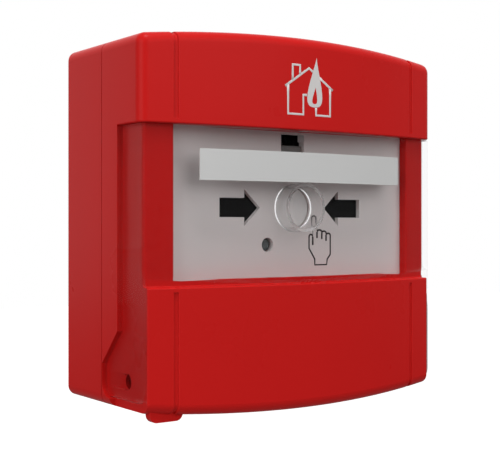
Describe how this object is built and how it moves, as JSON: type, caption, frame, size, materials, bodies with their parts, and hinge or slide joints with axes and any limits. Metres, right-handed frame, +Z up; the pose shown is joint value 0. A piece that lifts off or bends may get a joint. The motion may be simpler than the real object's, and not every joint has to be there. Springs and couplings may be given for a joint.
{
  "type": "manual call point",
  "caption": "Square wall-mounted manual call point: bowed cover with crowned top and bottom, clear hinged flap, tilting operating plate and key-operated reset.",
  "frame": {"origin": "middle of the flat wall face of the back box", "axes": "+X to the right seen from the front, +Y into the wall, +Z up; the front faces -Y"},
  "size_m": [0.098, 0.0447, 0.0988],
  "materials": {
    "red_shell": "smooth semi-gloss",
    "seal_rubber": "matt",
    "clear_plastic": "polished clear polycarbonate",
    "blank_label": "satin",
    "white_plate": "fine satin",
    "black_plastic": "matt",
    "switch_red": "satin",
    "flag_yellow": "satin",
    "lamp_lens": "clear red",
    "board_green": "solder resist",
    "resistor_body": "satin",
    "terminal_green": "satin",
    "bright_steel": "drawn",
    "plated_brass": "plated",
    "lock_metal": "turned",
    "white_acetal": "satin"
  },
  "bodies": {
    "housing": {"back_box": "red_shell", "front_cover": "red_shell", "release_lug": "red_shell", "conduit_blank": "red_shell", "cover_gasket": "seal_rubber", "cable_grommet": "seal_rubber", "light_pipe": "clear_plastic", "chassis": "black_plastic", "microswitch_body": "black_plastic", "controller_chip": "black_plastic", "capacitor": "black_plastic", "status_led": "lamp_lens", "circuit_board": "board_green", "resistors": "resistor_body", "terminal_block": "terminal_green", "plate_hinge_pin": "bright_steel", "chassis_screws": "bright_steel", "board_screws": "bright_steel", "cover_screws": "bright_steel", "return_springs": "bright_steel", "terminal_screws": "bright_steel", "terminal_clamps": "plated_brass"},
    "flap": {"clear_flap": "clear_plastic", "label_strip": "blank_label", "guard_ring": "clear_plastic"},
    "plate": {"operating_plate": "white_plate", "press_disc": "white_plate"},
    "switch_button": {"microswitch_button": "switch_red"},
    "flag": {"indicator_flag": "flag_yellow"},
    "lock": {"lock_barrel": "lock_metal", "reset_cam": "white_acetal"},
    "slider": {"reset_slider": "white_acetal"}
  },
  "joints": [
    {"name": "flap_hinge", "type": "hinge", "parent": "housing", "child": "flap", "pos_m": [0, -0.0305, -0.04], "axis": [1, 0, 0], "range_deg": [0, 95]},
    {"name": "plate_tilt", "type": "hinge", "parent": "housing", "child": "plate", "pos_m": [0, -0.0324, -0.0152], "axis": [-1, 0, 0], "range_deg": [0, 4], "stiffness_Nm_per_rad": 3, "springref_deg": -1.15, "deforming": ["return_springs"]},
    {"name": "button_press", "type": "slide", "parent": "housing", "child": "switch_button", "axis": [0, 1, 0], "range_m": [0, 0.0014]},
    {"name": "flag_drop", "type": "slide", "parent": "housing", "child": "flag", "axis": [0, 0, -1], "range_m": [0, 0.0063]},
    {"name": "lock_turn", "type": "hinge", "parent": "housing", "child": "lock", "pos_m": [0, -0.031, -0.045], "axis": [0, 0, 1], "range_deg": [0, 90]},
    {"name": "slider_lift", "type": "slide", "parent": "housing", "child": "slider", "axis": [0, 0, 1], "range_m": [0, 0.0031]}
  ],
  "couplings": [
    {"joint": "button_press", "follows": "plate_tilt", "m_per_rad": 0.0193},
    {"joint": "flag_drop", "follows": "plate_tilt", "m_per_rad": 0.0888},
    {"joint": "slider_lift", "follows": "lock_turn", "m_per_rad": 0.0019}
  ]
}
